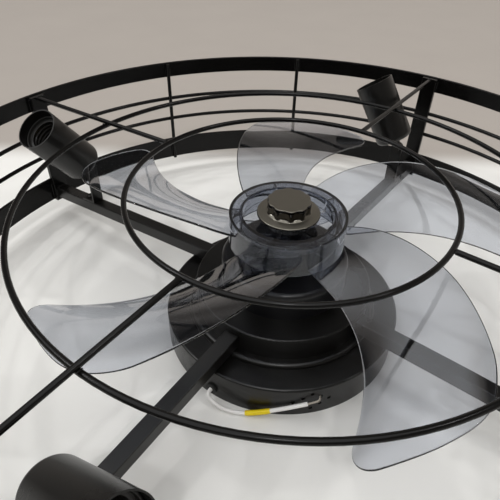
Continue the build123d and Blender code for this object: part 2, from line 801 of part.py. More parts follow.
def cord(points, size, label):
    radii = fillet_radii(points)
    path = FilletPolyline(*points, radius=radii)
    solid = sweep(Plane(origin=path @ 0, z_dir=path % 0) * Circle(size / 2), path=path)
    length = path.length
    ideal = math.pi * size ** 2 / 4 * length
    print(label, "length", round(length, 1), "radii", [round(r, 1) for r in radii],
          "volume share", round(solid.volume / ideal, 4))
    return solid


def make_lead():
    face = canopy_radius + grommet_seat + grommet_depth
    points = [polar(face, lead_angle, lead_level), polar(face + lead_straight, lead_angle, lead_level)]
    points += [Vector(*p) for p in lead_points]
    save("signal_lead", cord(points, lead_size, "signal lead"))
    first, second = Vector(*lead_points[2]), Vector(*lead_points[3])
    heading = (second - first).normalized()
    low = first + heading * sleeve_start
    sleeve = along(low, low + heading * sleeve_length, sleeve_size / 2)
    sleeve -= along(low - heading * overrun, low + heading * (sleeve_length + overrun), lead_size / 2 + sleeve_fit)
    save("lead_sleeve", sleeve)
    side, rise = sound_hole_places()[1]
    level = buzzer_level + rise
    bend = Vector(canopy_radius + tip_standoff, side, level).rotate(Axis.Z, buzzer_angle)
    finish = Vector(buzzer_face(), side, level).rotate(Axis.Z, buzzer_angle)
    heading = (points[-1] - points[-2]).normalized()
    run = [points[-1], points[-1] + heading * tip_straight, bend, finish]
    save("lead_tip", cord(run, tip_size, "lead tip"))
    ring_body = disc(grommet_flange, canopy_radius + grommet_seat, grommet_depth)
    ring_body += disc(grommet_radius, canopy_radius - canopy_wall, canopy_wall + grommet_seat + grommet_depth)
    ring_body -= disc(grommet_bore, canopy_radius - canopy_wall - overrun, canopy_wall + 3 * overrun)
    save("lead_grommet", Rot(0, 0, lead_angle) * Pos(0, 0, lead_level) * Rot(0, 90, 0) * ring_body)


make_cage()
make_arms()
make_carrier()
make_canopy()
make_mounting_plate()
make_screws()
make_motor()
make_stator()
make_rotor()
make_impeller()
make_nut()
make_lamp_heads()
make_brackets()
make_pivots()
make_electrics()
make_lead()
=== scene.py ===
import json
import math
import bpy
import bmesh
from mathutils import Matrix, Vector


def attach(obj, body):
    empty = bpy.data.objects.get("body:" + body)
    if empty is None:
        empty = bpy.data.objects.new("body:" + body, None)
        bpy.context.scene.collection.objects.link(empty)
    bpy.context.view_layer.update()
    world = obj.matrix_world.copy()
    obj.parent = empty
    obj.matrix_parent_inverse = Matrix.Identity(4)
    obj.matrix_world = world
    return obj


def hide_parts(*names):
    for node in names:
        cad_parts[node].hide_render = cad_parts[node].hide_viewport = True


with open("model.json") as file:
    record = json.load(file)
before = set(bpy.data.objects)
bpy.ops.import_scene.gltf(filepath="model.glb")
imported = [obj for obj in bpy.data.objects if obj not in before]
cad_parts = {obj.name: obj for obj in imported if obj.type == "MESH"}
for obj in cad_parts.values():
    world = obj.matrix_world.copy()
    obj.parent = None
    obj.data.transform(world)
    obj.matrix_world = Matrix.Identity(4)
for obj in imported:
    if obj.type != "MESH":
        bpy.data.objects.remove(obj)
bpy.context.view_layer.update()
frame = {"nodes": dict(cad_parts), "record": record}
nodes = frame["nodes"]
print("frame loaded:", len(nodes), "nodes")

mm = 0.001


# small helpers

def linear(hexColour):
    # sRGB hex to linear RGBA
    channels = []
    for start in (1, 3, 5):
        c = int(hexColour[start:start + 2], 16) / 255
        channels.append(c / 12.92 if c <= 0.04045 else ((c + 0.055) / 1.055) ** 2.4)
    return (*channels, 1.0)


def addNode(tree, kind, values=None, links=None, **settings):
    # one node, its settings, its socket values and what feeds it
    node = tree.nodes.new(kind)
    for name, value in settings.items():
        setattr(node, name, value)
    for socket, value in (values or {}).items():
        node.inputs[socket].default_value = value
    for socket, source in (links or {}).items():
        tree.links.new(source, node.inputs[socket])
    return node


def startMaterial(name, values):
    # a Principled material with Object coordinates ready
    material = bpy.data.materials.new(name)
    material.use_nodes = True
    tree = material.node_tree
    tree.nodes.clear()
    shader = addNode(tree, "ShaderNodeBsdfPrincipled", values)
    addNode(tree, "ShaderNodeOutputMaterial", links={"Surface": shader.outputs["BSDF"]})
    place = addNode(tree, "ShaderNodeTexCoord").outputs["Object"]
    return material, tree, shader, place


def addBump(tree, shader, height, kind):
    strength, depth = relief[kind]
    bump = addNode(tree, "ShaderNodeBump", {"Strength": strength, "Distance": depth * mm}, {"Height": height})
    tree.links.new(bump.outputs["Normal"], shader.inputs["Normal"])


def newObject(name, data):
    # an object in the scene, for a mesh, curve, lamp or camera
    obj = bpy.data.objects.new(name, data)
    bpy.context.scene.collection.objects.link(obj)
    return obj


def meshFrom(name, bm):
    mesh = bpy.data.meshes.new(name)
    bm.to_mesh(mesh)
    bm.free()
    return mesh


def meshObject(name, mesh, body, slot):
    # a piece from its mesh, in the finish of its slot
    obj = newObject(name, mesh)
    mesh.materials.clear()
    mesh.materials.append(finishes[slot])
    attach(obj, body)
    return obj


def polar(radius, angle, level=0.0):
    # a point in mm from its radius, its angle in degrees and its level
    turn = math.radians(angle)
    return Vector((radius * math.cos(turn), radius * math.sin(turn), level))


def revolved(name, outline, steps, wave=None):
    # a closed skin from (radius, level) pairs in mm, outline from pole to pole or closed on itself
    bm = bmesh.new()
    rings = []
    for radius, level in outline:
        if radius < 0.001:
            rings.append([bm.verts.new((0, 0, level * mm))])
            continue
        ring = []
        for step in range(steps):
            angle = 360.0 * step / steps
            grown = radius + (wave(angle, radius, level) if wave else 0.0)
            ring.append(bm.verts.new(polar(grown, angle, level) * mm))
        rings.append(ring)
    closed = len(rings[0]) > 1
    pairs = list(zip(rings, rings[1:])) + ([(rings[-1], rings[0])] if closed else [])
    for low, high in pairs:
        for step in range(steps):
            after = (step + 1) % steps
            corners = [low[step % len(low)], low[after % len(low)], high[after % len(high)], high[step % len(high)]]
            unique = []
            for corner in corners:
                if corner not in unique:
                    unique.append(corner)
            if len(unique) > 2:
                bm.faces.new(unique)
    bmesh.ops.recalc_face_normals(bm, faces=bm.faces)
    return meshFrom(name, bm)


def sharpened(mesh, degrees):
    # smooth faces, with an edge kept wherever two faces turn more than this
    for face in mesh.polygons:
        face.use_smooth = True
    mesh.set_sharp_from_angle(angle=math.radians(degrees))
    return mesh


def waysAlong(path):
    # how far along a line of points each one is
    ways = [0.0]
    for a, b in zip(path, path[1:]):
        ways.append(ways[-1] + (b - a).length)
    return ways


def squareTo(path):
    # two directions square to a line at each of its points, carried along it without a twist
    last = len(path) - 1
    pairs = []
    side = None
    for place in range(last + 1):
        ahead = (path[min(place + 1, last)] - path[max(place - 1, 0)]).normalized()
        if side is None:
            side = ahead.orthogonal().normalized()
        side = (side - ahead * side.dot(ahead)).normalized()
        pairs.append((side, ahead.cross(side)))
    return pairs


def tubeAlong(path, radiusAt, sides):
    # a tube round a line of points in metres, its radius in mm read at each point's share of the way
    ways = waysAlong(path)
    bm = bmesh.new()
    rings = []
    for point, way, (side, over) in zip(path, ways, squareTo(path)):
        radius = radiusAt(way / ways[-1]) * mm
        ring = []
        for step in range(sides):
            turn = 2 * math.pi * step / sides
            ring.append(bm.verts.new(point + (side * math.cos(turn) + over * math.sin(turn)) * radius))
        rings.append(ring)
    for low, high in zip(rings, rings[1:]):
        for step in range(sides):
            after = (step + 1) % sides
            bm.faces.new((low[step], low[after], high[after], high[step]))
    bm.faces.new(rings[0])
    bm.faces.new(rings[-1])
    bmesh.ops.recalc_face_normals(bm, faces=bm.faces)
    return bm


# camera, at the photo's viewpoint

view = {
    "place": (152.9, -274.0, 330.1),  # mm from the centre of the ceiling face
    "heading": 124.3,                 # degrees from +X
    "down": 40.0,
    "roll": 1.5,
    "lens": 35.96,                    # mm
    "sensor": 36.0,                   # mm
    "shiftY": 0.022,
}
heading, down, roll = (math.radians(view[k]) for k in ("heading", "down", "roll"))
forward = Vector((math.cos(heading) * math.cos(down), math.sin(heading) * math.cos(down), -math.sin(down)))
right = forward.cross(Vector((0, 0, 1))).normalized()
up = right.cross(forward)
rolledRight = right * math.cos(roll) + up * math.sin(roll)
rolledUp = up * math.cos(roll) - right * math.sin(roll)
cameraData = bpy.data.cameras.new("camera")
cameraData.lens = view["lens"]
cameraData.sensor_width = view["sensor"]
cameraData.shift_y = view["shiftY"]
cameraData.clip_start = 0.01
camera = newObject("camera", cameraData)
camera.matrix_world = Matrix.Translation(Vector(view["place"]) * mm) @ Matrix(
    (rolledRight, rolledUp, -forward)).transposed().to_4x4()
bpy.context.scene.camera = camera
print("camera placed")

# signal lead: white flexible wire from the skirt's grommet, along the skirt and back in by a sound hole

lead = {
    "radius": 1.6,
    "exit": polar(99.75, -89.5, 8.5),
    "bend": polar(105.75, -89.5, 8.5),
    "route": [(8.0, -106.0, 4.8), (17.0, -105.4, 2.2), (33.5, -98.2, 2.2), (57.5, -83.3, 12.4), (70.0, -72.9, 16.8)],
    "length": 86.8,
    "sleeve": (0.445, 0.67),   # shares of the lead's way
    "sleeveRadius": 2.1,
    "sleeveSides": 28,
    "gripDepth": 0.22,         # mm that the sleeve's ends draw in
    "gripShare": 0.12,         # over this share of its length
    "ringDepth": 0.035,
    "ringTurn": 60.0,          # radians of the rings' wave from end to end
    "tipStraight": 4.0,        # mm of bare strand before it bends
    "hole": (6.85, 19.25),     # the sound hole's distance aside and its level
    "holeTurn": -44.0,         # degrees round to the hole's group
    "holeRadii": (101.2, 92.4),  # just outside the skirt, and the tip's end inside it
    "strand": 0.3,
    "strandSides": 7,
    "strandCircle": 0.58,      # mm from the middle strand to the ones round it
    "strands": 7,
    "lay": 7.0,                # mm of one turn of the twist
}


def routeCurve(name, points, radius):
    curve = bpy.data.curves.new(name, "CURVE")
    curve.dimensions = "3D"
    spline = curve.splines.new("NURBS")
    spline.points.add(len(points) - 1)
    for place, point in zip(spline.points, points):
        place.co = (*(Vector(point) * mm), 1.0)
    spline.order_u = 3
    spline.use_endpoint_u = True
    spline.resolution_u = 16
    curve.bevel_depth = radius * mm
    curve.bevel_resolution = 6
    curve.use_fill_caps = radius > 0
    return newObject(name, curve)


def pointsAlong(points):
    # the route's own spline, read back as a line of points
    bare = routeCurve("bareRoute", points, 0.0)
    mesh = bpy.data.meshes.new_from_object(bare)
    line = [v.co.copy() for v in mesh.vertices]
    bpy.data.objects.remove(bare)
    return line


def between(line, low, high, count=25):
    # evenly spaced points on the stretch of a line between two shares of its way
    ways = waysAlong(line)
    whole = ways[-1]

    def at(share):
        for place in range(1, len(line)):
            if ways[place] >= share * whole:
                inside = (share * whole - ways[place - 1]) / (ways[place] - ways[place - 1])
                return line[place - 1].lerp(line[place], inside)
        return line[-1].copy()

    return [at(low + (high - low) * step / (count - 1)) for step in range(count)]


leadPoints = [lead["exit"], lead["bend"]] + [Vector(p) for p in lead["route"]]
signalLead = routeCurve("signalLead", leadPoints, lead["radius"])
leadLine = pointsAlong(leadPoints)


def sleeveRadius(share):
    # heat shrink grips harder at its two ends, and has faint rings where it drew in
    grip = min(share, 1 - share) / lead["gripShare"]
    ring = lead["ringDepth"] * math.sin(share * lead["ringTurn"])
    return lead["sleeveRadius"] - lead["gripDepth"] * max(0.0, 1 - grip) + ring


sleeveMesh = meshFrom("leadSleeve", tubeAlong(between(leadLine, *lead["sleeve"]), sleeveRadius, lead["sleeveSides"]))

# the bare tip runs straight on, then through the sound hole: seven strands, six twisted round one
tipBend = leadPoints[-1] + (leadPoints[-1] - leadPoints[-2]).normalized() * lead["tipStraight"]
intoHole = [Matrix.Rotation(math.radians(lead["holeTurn"]), 3, "Z") @ Vector((radius, *lead["hole"]))
            for radius in lead["holeRadii"]]
tipLine = between(pointsAlong([leadPoints[-1], tipBend, *intoHole]), 0.0, 1.0)
reach = waysAlong(tipLine)[-1] / mm
tipBm = bmesh.new()
for strand in range(lead["strands"]):
    offset = 0.0 if strand == 0 else lead["strandCircle"]
    line = []
    for place, (point, (side, over)) in enumerate(zip(tipLine, squareTo(tipLine))):
        turn = 2 * math.pi * (strand / (lead["strands"] - 1) + place / (len(tipLine) - 1) * reach / lead["lay"])
        line.append(point + (side * math.cos(turn) + over * math.sin(turn)) * offset * mm)
    strandMesh = meshFrom("strand", tubeAlong(line, lambda share: lead["strand"], lead["strandSides"]))
    tipBm.from_mesh(strandMesh)
    bpy.data.meshes.remove(strandMesh)
tipMesh = meshFrom("leadTip", tipBm)
for face in tipMesh.polygons:
    face.use_smooth = True
print("lead routed, tip reaches", round(reach, 1), "mm")

# finishes

coat = {
    "black": "#070706",
    "worn": "#100f0e",
    "motor": "#0c0c0e",
    "peel": 2.4,       # mm across one dimple of the orange peel, drawn three times coarser than life so that it shows
    "patch": 60.0,     # mm across a slightly duller patch
    "roughness": 0.28,
    "duller": (-0.06, 0.08),  # what the patches take off the roughness and add to it
    "shine": 0.38,
    "motorWorn": "#151518",
    "caged": ("upper_rim", "lower_rim", "upper_hoop", "lower_hoop", "flat_uprights", "rod_uprights", "middle_ring",
              "inner_ring", "grille_spokes"),
    "cageBlack": "#060606",
    "cageWorn": "#0b0a09",
    "cageRoughness": 0.22,
    "cageShine": 0.2,
}
smoke = {
    "colour": (0.36, 0.41, 0.51, 1.0),
    "density": 380.0,  # per metre
    "flow": 26.0,      # mm across a faint wave where the melt ran
}
plating = {
    # both colours are painted light: the sides darker as painted shade, the tops lighter as a painted reflection of the
    # bright ceiling
    "sides": "#4b4844",
    "litTops": "#7f7c73",
    "topsFrom": (0.6, 0.95),     # how far a face looks up where the brushing and the painted sheen start, and where they are full
    "haze": 5.0,                 # mm across a cloud in the polish
    "roughness": (0.08, 0.18),
    "brushed": 0.22,             # roughness that the brushing adds
}
relief = {
    # strength, and depth in mm
    "orangePeel": (0.08, 0.1),
    "meltFlow": (0.02, 0.05),
    "sparkTexture": (0.15, 0.06),
    "scratches": (0.1, 0.05),
}


def powderCoat(name, colour, lighter, roughness, shine=coat["shine"]):
    # powder coat baked on steel: satin, with orange peel, and patches rubbed a little duller
    material, tree, shader, place = startMaterial(name, {
        "Metallic": 0.0, "IOR": 1.5, "Roughness": roughness, "Specular IOR Level": shine})
    peel = addNode(tree, "ShaderNodeTexNoise", {"Scale": 1 / (coat["peel"] * mm), "Detail": 2.0}, {"Vector": place})
    patch = addNode(tree, "ShaderNodeTexNoise", {"Scale": 1 / (coat["patch"] * mm), "Detail": 3.0, "Roughness": 0.6},
                    {"Vector": place})
    tint = addNode(tree, "ShaderNodeMix", {6: linear(colour), 7: linear(lighter)},
                   {0: patch.outputs["Fac"]}, data_type="RGBA")
    tree.links.new(tint.outputs[2], shader.inputs["Base Color"])
    low, high = coat["duller"]
    dull = addNode(tree, "ShaderNodeMapRange", {"To Min": roughness + low, "To Max": roughness + high},
                   {"Value": patch.outputs["Fac"]})
    tree.links.new(dull.outputs["Result"], shader.inputs["Roughness"])
    addBump(tree, shader, peel.outputs["Fac"], "orangePeel")
    return material


def smokedPolycarbonate():
    # clear polycarbonate with smoke dye: polished, darker the further the light goes inside it, so its edges are dark
    material, tree, shader, place = startMaterial("smokedPolycarbonate", {
        "Base Color": linear("#ffffff"), "Metallic": 0.0, "IOR": 1.58, "Roughness": 0.02, "Transmission Weight": 1.0})
    output = [n for n in tree.nodes if n.bl_idname == "ShaderNodeOutputMaterial"][0]
    dye = addNode(tree, "ShaderNodeVolumeAbsorption", {"Color": smoke["colour"], "Density": smoke["density"]})
    tree.links.new(dye.outputs["Volume"], output.inputs["Volume"])
    flow = addNode(tree, "ShaderNodeTexNoise", {"Scale": 1 / (smoke["flow"] * mm), "Detail": 1.0}, {"Vector": place})
    addBump(tree, shader, flow.outputs["Fac"], "meltFlow")
    return material


def gunmetalPlate():
    # black-nickel plating: polished sides, upper faces brushed to a duller satin; the upper faces are also painted
    # lighter, a painted reflection of the bright ceiling, and the sides painted darker, painted shade for the dark they
    # mirror
    material, tree, shader, place = startMaterial("gunmetalPlate", {"Metallic": 1.0})
    facing = addNode(tree, "ShaderNodeSeparateXYZ", links={
        "Vector": addNode(tree, "ShaderNodeTexCoord").outputs["Normal"]})
    start, full = plating["topsFrom"]
    brushed = addNode(tree, "ShaderNodeMapRange", {"From Min": start, "From Max": full}, {"Value": facing.outputs["Z"]})
    # lighter on faces that look up: a painted reflection on the tops, painted shade on the sides
    tint = addNode(tree, "ShaderNodeMix", {6: linear(plating["sides"]), 7: linear(plating["litTops"])},
                   {0: brushed.outputs["Result"]}, data_type="RGBA")
    tree.links.new(tint.outputs[2], shader.inputs["Base Color"])
    haze = addNode(tree, "ShaderNodeTexNoise", {"Scale": 1 / (plating["haze"] * mm), "Detail": 4.0}, {"Vector": place})
    low, high = plating["roughness"]
    rough = addNode(tree, "ShaderNodeMapRange", {"To Min": low, "To Max": high}, {"Value": haze.outputs["Fac"]})
    duller = addNode(tree, "ShaderNodeMath", {1: plating["brushed"]},
                     {0: brushed.outputs["Result"], 2: rough.outputs["Result"]}, operation="MULTIPLY_ADD")
    tree.links.new(duller.outputs[0], shader.inputs["Roughness"])
    return material


def plainPlastic(name, colour, roughness, grain, shade=0.82):
    # moulded plastic or rubber: even colour, fine spark-eroded texture of the mould
    material, tree, shader, place = startMaterial(name, {
        "Metallic": 0.0, "IOR": 1.5, "Roughness": roughness})
    spark = addNode(tree, "ShaderNodeTexNoise", {"Scale": 1 / (grain * mm), "Detail": 3.0}, {"Vector": place})
    base = linear(colour)
    darker = tuple(c * shade for c in base[:3]) + (1.0,)
    tint = addNode(tree, "ShaderNodeMix", {6: darker, 7: base}, {0: spark.outputs["Fac"]}, data_type="RGBA")
    tree.links.new(tint.outputs[2], shader.inputs["Base Color"])
    addBump(tree, shader, spark.outputs["Fac"], "sparkTexture")
    return material


def barMetal(name, colour, roughness, grain):
    # bare, plated or oxidised metal: fine scratches and cloudy roughness
    material, tree, shader, place = startMaterial(name, {"Base Color": linear(colour), "Metallic": 1.0,
                                                         "Roughness": roughness})
    cloud = addNode(tree, "ShaderNodeTexNoise", {"Scale": 1 / (grain * mm), "Detail": 5.0}, {"Vector": place})
    rough = addNode(tree, "ShaderNodeMapRange", {"To Min": roughness * 0.7, "To Max": roughness * 1.3},
                    {"Value": cloud.outputs["Fac"]})
    tree.links.new(rough.outputs["Result"], shader.inputs["Roughness"])
    addBump(tree, shader, cloud.outputs["Fac"], "scratches")
    return material


finishes = {
    "black_paint": powderCoat("powderCoatBlack", coat["black"], coat["worn"], coat["roughness"]),
    "motor_paint": powderCoat("powderCoatMotor", coat["motor"], coat["motorWorn"], coat["roughness"]),
    "plated_steel": barMetal("zincPlatedSheet", "#b9b8b2", 0.38, 6.0),
    "dark_steel": barMetal("blackOxideSteel", "#3a3937", 0.36, 2.0),
    "bright_steel": barMetal("groundSteel", "#c8c8c8", 0.2, 2.0),
    "core_steel": barMetal("siliconSteelStack", "#6f6f72", 0.45, 3.0),
    "magnet": plainPlastic("ferriteRing", "#37373a", 0.55, 1.0),
    "copper_wire": barMetal("enamelledCopper", "#c26a37", 0.3, 1.0),
    "tinned_wire": barMetal("tinnedCopper", "#b3aca2", 0.3, 0.8),
    "smoked_plastic": smokedPolycarbonate(),
    "black_plastic": plainPlastic("mouldedAbsBlack", "#101012", 0.3, 1.5),
    "gunmetal": gunmetalPlate(),
    "socket_plastic": plainPlastic("phenolicBlack", "#151412", 0.4, 1.5),
    "socket_metal": barMetal("platedBrass", "#b49a63", 0.3, 2.0),
    "white_plastic": plainPlastic("flexiblePvcWhite", "#eceae7", 0.4, 2.5, 0.97),
    "grommet_rubber": plainPlastic("grommetRubber", "#121212", 0.6, 1.2),
    "yellow_plastic": plainPlastic("heatShrinkYellow", "#ecd009", 0.38, 2.5, 0.94),
}
# the cage's thicker coat is a deeper black seen square on, and as bright as the rest at a glancing view
cageCoat = powderCoat("powderCoatCage", coat["cageBlack"], coat["cageWorn"], coat["cageRoughness"], coat["cageShine"])
slotOf = {s["node"]: s["material_slot"] for s in frame["record"]["subparts"]}
for name, obj in nodes.items():
    finish = cageCoat if name in coat["caged"] else finishes[slotOf[name]]
    for place in obj.material_slots:
        place.material = finish
print("finishes:", len(finishes))

# signal lead, dressed

signalLead.data.materials.append(finishes["white_plastic"])
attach(signalLead, "frame")
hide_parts("signal_lead")
leadSleeve = meshObject("leadSleeve", sharpened(sleeveMesh, 50), "frame", "yellow_plastic")
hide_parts("lead_sleeve")
leadTip = meshObject("leadTip", tipMesh, "frame", "tinned_wire")
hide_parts("lead_tip")
print("lead dressed")


def startTree(name, sockets):
    # a Geometry Nodes tree with geometry in and out, its input node, and the identifiers of its named inputs
    tree = bpy.data.node_groups.new(name, "GeometryNodeTree")
    face = tree.interface
    face.new_socket("Geometry", in_out="INPUT", socket_type="NodeSocketGeometry")
    inputs = {label: face.new_socket(label, in_out="INPUT", socket_type=kind).identifier
              for label, kind in sockets.items()}
    face.new_socket("Geometry", in_out="OUTPUT", socket_type="NodeSocketGeometry")
    return tree, tree.nodes.new("NodeGroupInput"), inputs


def pointMesh(name, places, ways):
    # points in mm, each with the turn that takes +Z to its own direction
    mesh = bpy.data.meshes.new(name)
    mesh.from_pydata([place * mm for place in places], [], [])
    turns = mesh.attributes.new("turn", "FLOAT_VECTOR", "POINT")
    for turn, way in zip(turns.data, ways):
        turn.vector = way.to_track_quat("Z", "Y").to_euler()
    return mesh


def plainResult(name, mesh, tree, values):
    # runs a Geometry Nodes tree over a mesh and keeps the result as one plain mesh
    seedling = newObject(name + "Seed", mesh)
    modifier = seedling.modifiers.new(name, "NODES")
    modifier.node_group = tree
    for identifier, value in values.items():
        modifier[identifier] = value
    result = bpy.data.meshes.new_from_object(seedling.evaluated_get(bpy.context.evaluated_depsgraph_get()))
    seedling.modifiers.clear()
    bpy.data.objects.remove(seedling)
    result.name = name
    return result


# impeller: one smoked clear moulding, the blade's rule and the hub's section written out, spun by Geometry Nodes

impeller = {
    "blades": 5,
    "phase": 49.4,
    "wall": 1.8,
    "camber": 3.0,
    "lowAngles": (-14.3, -10.4, -11.6, -15.6, -21.2, -27.3),
    "highAngles": (49.3, 36.6, 26.7, 18.6, 10.8, 3.0),
    "lowShares": (0.0, 0.01, 0.0, -0.03, -0.09, -0.17),
    "highShares": (0.47, 0.83, 0.99, 0.98, 0.78, 0.46),
    "tipAngles": (-27.3, -19.0, -11.0, -4.0, 3.0),
    "tipShares": (1.0, 0.997, 0.996, 0.988, 0.952),
    "edgeLevel": 95.0,
    "lift": 27.0,
    "tipRadius": 193.5,
    "highEnd": 0.952,
    "rootRadius": 44.2,      # the blade ends inside the hub's wall
    "lowCorner": 17.0,
    "highCorner": 16.0,
    "rows": 60,
    "columns": 50,
    "cornerRows": 14,
    "edgeStrip": 0.4,        # mm, the outermost strips are kept narrow, so that the rounded edge shades only itself
    "edgeRound": 0.55,
    "hubRadius": 45.0,
    "hubWall": 2.0,
    "hubEasing": 0.4,
    "hubSteps": 160,
    "pinSlot": ((-1.6, -11.5, 92.5), (1.6, 11.5, 96.6)),
    "ringInner": 35.0,
    "bottom": 91.4,
    "floor": 107.0,
    "top": 117.0,
    "boss": 12.0,
    "bossLevel": 93.5,
    "bore": 4.1,
    "ribPhase": 65.5,
    "ribWall": 1.4,
    "ribLevel": 93.4,
    "ribDeep": 0.05,         # how far the ribs reach into the walls
}


def smoothAt(values, share):
    # a smooth curve through evenly spaced values
    last = len(values) - 1
    place = min(max(share, 0.0), 1.0) * last
    start = min(int(place), last - 1)
    inside = place - start
    a, b = values[start], values[start + 1]
    before = values[start - 1] if start > 0 else 2 * a - b
    after = values[start + 2] if start + 2 <= last else 2 * b - a
    slopeA, slopeB = (b - before) / 2, (after - a) / 2
    return (a * (2 * inside ** 3 - 3 * inside ** 2 + 1) + slopeA * (inside ** 3 - 2 * inside ** 2 + inside)
            + b * (3 * inside ** 2 - 2 * inside ** 3) + slopeB * (inside ** 3 - inside ** 2))


def bladePoint(reach, across):
    # a point in the middle of the blade's wall, reach from hub to tip, across from low edge to high edge
    s = impeller

    def edge(angles, shares, end):
        radius = s["hubRadius"] + (s["tipRadius"] * end - s["hubRadius"]) * reach
        return polar(radius, smoothAt(angles, reach), s["edgeLevel"] + s["lift"] * smoothAt(shares, reach))

    low, high = edge(s["lowAngles"], s["lowShares"], 1.0), edge(s["highAngles"], s["highShares"], s["highEnd"])
    point = low.lerp(high, across)
    point.z += 4 * s["camber"] * across * (1 - across) + s["wall"] / 2
    tip = polar(s["tipRadius"] * smoothAt(s["tipShares"], across), smoothAt(s["tipAngles"], across))
    tipLow, tipHigh = polar(s["tipRadius"], s["tipAngles"][0]), polar(s["tipRadius"] * s["highEnd"], s["tipAngles"][-1])
    root = polar(s["rootRadius"], s["lowAngles"][0] + (s["highAngles"][0] - s["lowAngles"][0]) * across)
    rootLow, rootHigh = polar(s["hubRadius"], s["lowAngles"][0]), polar(s["hubRadius"], s["highAngles"][0])
    return point + (tip - tipLow.lerp(tipHigh, across)) * reach ** 4 + (
        root - rootLow.lerp(rootHigh, across)) * (1 - reach) ** 4


def bladeRows():
    # evenly spaced rows, then closer ones round the two corners of the tip
    s = impeller
    length = s["tipRadius"] - s["hubRadius"]
    turn = max(s["lowCorner"], s["highCorner"])
    rows = [(1 - turn / length) * step / s["rows"] for step in range(s["rows"])]
    rows += [1 - turn / length * (1 - math.sin(math.radians(90 * step / s["cornerRows"])))
             for step in range(s["cornerRows"] + 1)]
    spans = []
    for reach in rows:
        width = (bladePoint(reach, 1.0) - bladePoint(reach, 0.0)).length
        left = (1 - reach) * length
        cuts = []
        for corner in (s["lowCorner"], s["highCorner"]):
            short = max(0.0, corner - left)
            cuts.append((corner - math.sqrt(corner ** 2 - short ** 2)) / width)
        spans.append((reach, cuts[0], 1 - cuts[1]))
    return spans


def bladeMesh(bm):
    # a shell of two skins with a rounded edge all the way round
    s = impeller
    spans = bladeRows()
    count = s["columns"]
    grid = []
    for reach, low, high in spans:
        strip = s["edgeStrip"] / (bladePoint(reach, high) - bladePoint(reach, low)).length
        shares = [0.0] + [strip + (1 - 2 * strip) * step / (count - 2) for step in range(count - 1)] + [1.0]
        grid.append([bladePoint(reach, low + (high - low) * share) for share in shares])
    rows = len(grid)
    normals = []
    for row in range(rows):
        line = []
        for step in range(count + 1):
            along = grid[min(row + 1, rows - 1)][step] - grid[max(row - 1, 0)][step]
            over = grid[row][min(step + 1, count)] - grid[row][max(step - 1, 0)]
            normal = along.cross(over).normalized()
            line.append(normal if normal.z > 0 else -normal)
        normals.append(line)
    half = s["wall"] / 2
    skins = []
    for side in (1, -1):
        skins.append([[bm.verts.new((grid[row][step] + normals[row][step] * half * side) * mm)
                       for step in range(count + 1)] for row in range(rows)])
    for skin in skins:
        for row in range(rows - 1):
            for step in range(count):
                bm.faces.new((skin[row][step], skin[row][step + 1], skin[row + 1][step + 1], skin[row + 1][step]))
    loop = [(row, 0) for row in range(rows)] + [(rows - 1, step) for step in range(1, count + 1)]
    loop += [(row, count) for row in range(rows - 2, -1, -1)] + [(0, step) for step in range(count - 1, 0, -1)]
    previous = [skins[0][row][step] for row, step in loop]
    for turn in (30, 60, 90, 120, 150, 180):
        ring = []
        for index, (row, step) in enumerate(loop):
            if turn == 180:
                ring.append(skins[1][row][step])
                continue
            before, after = loop[index - 1], loop[(index + 1) % len(loop)]
            ahead = grid[after[0]][after[1]] - grid[before[0]][before[1]]
            normal = normals[row][step]
            outwards = ahead.cross(normal).normalized()
            ring.append(bm.verts.new((grid[row][step] + normal * half * math.cos(math.radians(turn))
                                      + outwards * s["edgeRound"] * math.sin(math.radians(turn))) * mm))
        for index in range(len(loop)):
            after = (index + 1) % len(loop)
            bm.faces.new((previous[index], previous[after], ring[after], ring[index]))
        previous = ring


def ribMesh(bm, angle):
    # one radial rib: a tall part under the ring and a low part under the floor of the recess
    s = impeller
    deep = s["ribDeep"]
    boss = s["boss"] - deep
    outer = s["hubRadius"] - s["hubWall"] + deep
    inner = s["ringInner"] + s["hubWall"] - deep
    floor = s["floor"] - s["hubWall"] + deep
    top = s["top"] - s["hubWall"] + deep
    outline = [(boss, s["ribLevel"]), (outer, s["ribLevel"]), (outer, top), (inner, top), (inner, floor), (boss, floor)]
    turn = Matrix.Rotation(math.radians(angle), 3, "Z")
    sides = []
    for shift in (-0.5, 0.5):
        sides.append([bm.verts.new(turn @ Vector((x, shift * s["ribWall"], z)) * mm) for x, z in outline])
        bm.faces.new(sides[-1])
    for index in range(len(outline)):
        after = (index + 1) % len(outline)
        bm.faces.new((sides[0][index], sides[0][after], sides[1][after], sides[1][index]))


def eased(outline, size, closed=True):
    # rounds every corner of an outline in three steps, with a support point on both sides of the rounding
    soft = []
    for index, corner in enumerate(outline):
        if not closed and index in (0, len(outline) - 1):
            soft.append(corner)
            continue
        here = Vector((*corner, 0))
        before = Vector((*outline[index - 1], 0))
        after = Vector((*outline[(index + 1) % len(outline)], 0))
        ways = [(before - here), (after - here)]
        ends = [here + way.normalized() * min(size, way.length * 0.35) for way in ways]
        stays = [here + way.normalized() * min(size * 1.5, way.length * 0.45) for way in ways]
        soft.append((stays[0].x, stays[0].y))
        for share in (0.0, 0.33, 0.67, 1.0):
            point = ends[0].lerp(here, share).lerp(here.lerp(ends[1], share), share)
            soft.append((point.x, point.y))
        soft.append((stays[1].x, stays[1].y))
    return soft


def hubOutline():
    s = impeller
    wall = s["hubWall"]
    return [(s["bore"], s["bossLevel"]), (s["boss"], s["bossLevel"]), (s["boss"], s["floor"] - wall),
            (s["ringInner"] + wall, s["floor"] - wall), (s["ringInner"] + wall, s["top"] - wall),
            (s["hubRadius"] - wall, s["top"] - wall), (s["hubRadius"] - wall, s["bottom"]),
            (s["hubRadius"], s["bottom"]), (s["hubRadius"], s["top"]), (s["ringInner"], s["top"]),
            (s["ringInner"], s["floor"]), (s["bore"], s["floor"])]


